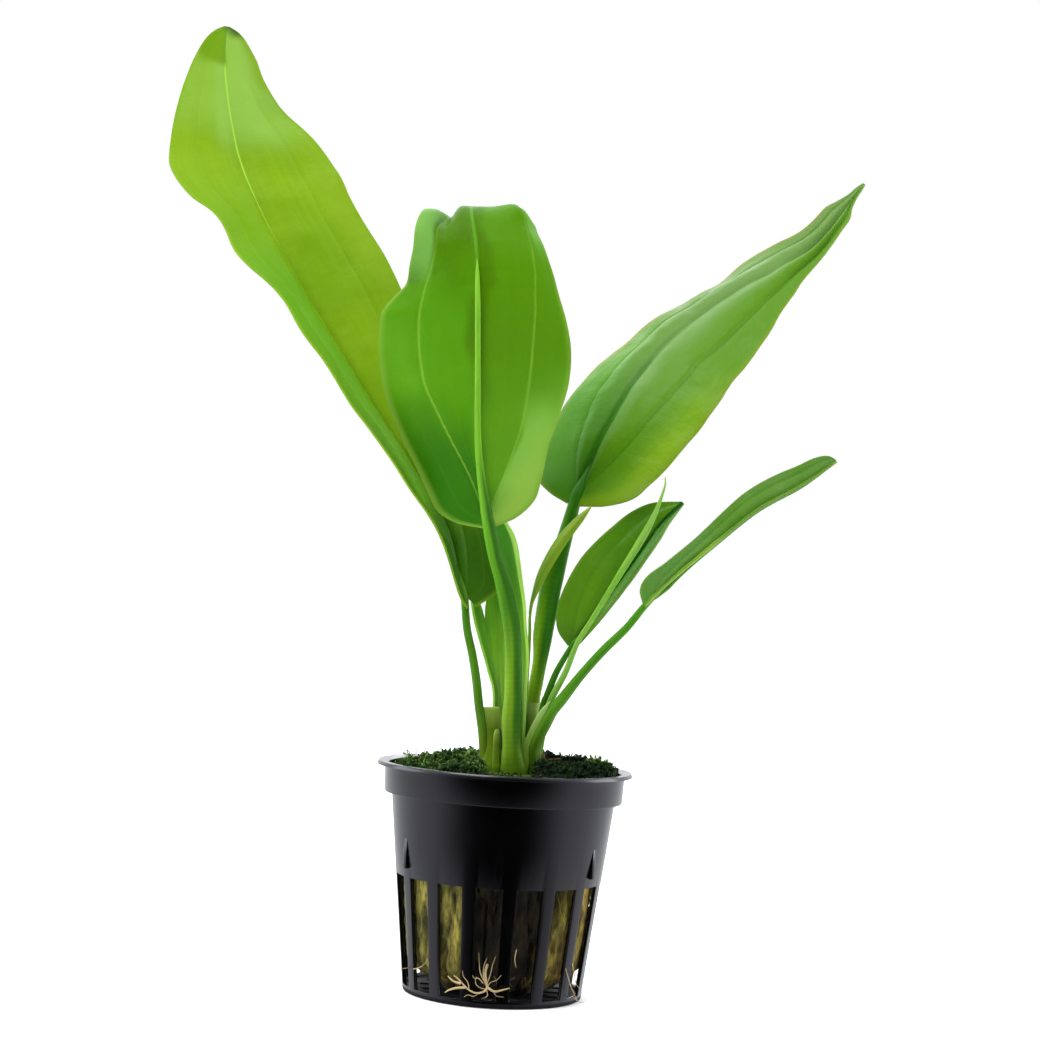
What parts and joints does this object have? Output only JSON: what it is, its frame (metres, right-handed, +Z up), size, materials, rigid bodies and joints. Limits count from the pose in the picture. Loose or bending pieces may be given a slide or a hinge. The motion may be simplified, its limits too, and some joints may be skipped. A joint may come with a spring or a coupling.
{
  "type": "potted echinodorus",
  "caption": "Sword plant with broad upright leaves on long stalks, rooted in a rock wool plug in a small tapered slotted pot, moss round the crown.",
  "frame": {"origin": "Centre of the pot's under side, on the surface it stands on.", "axes": "+Z up, the longest extent; the side with the ribbed front leaf faces -Y; the broad leaf leans to +X, the tall leaf to -X."},
  "size_m": [0.1569, 0.0586, 0.2095],
  "materials": {
    "black_plastic": "glossy moulded plastic",
    "rock_wool": "wet matted mineral fibre, olive brown",
    "moss": "wet dark green moss",
    "rootstock": "pale green living tissue",
    "leaf_bright": "satin living leaf, yellow green",
    "leaf_deep": "satin living leaf, deep green",
    "leaf_young": "satin young leaf, pale green",
    "withered_leaf": "dry dull leaf, straw and green",
    "old_sheath": "dull old leaf base, olive",
    "root": "dull root, cream to tan"
  },
  "bodies": {
    "root": {"pot": "black_plastic", "rock_wool": "rock_wool", "moss": "moss", "crown": "rootstock", "leaf_tall_left": "leaf_bright", "leaf_front": "leaf_deep", "leaf_right": "leaf_bright", "leaf_short_right": "leaf_deep", "leaf_spear": "leaf_young", "leaf_far_right": "leaf_deep", "leaf_young_right": "leaf_young", "leaf_young_left": "leaf_young", "leaf_young_back": "leaf_young", "leaf_withered": "withered_leaf", "sheath_stub": "old_sheath", "sheath_small": "old_sheath", "root_front": "root", "root_side": "root"}
  },
  "joints": []
}
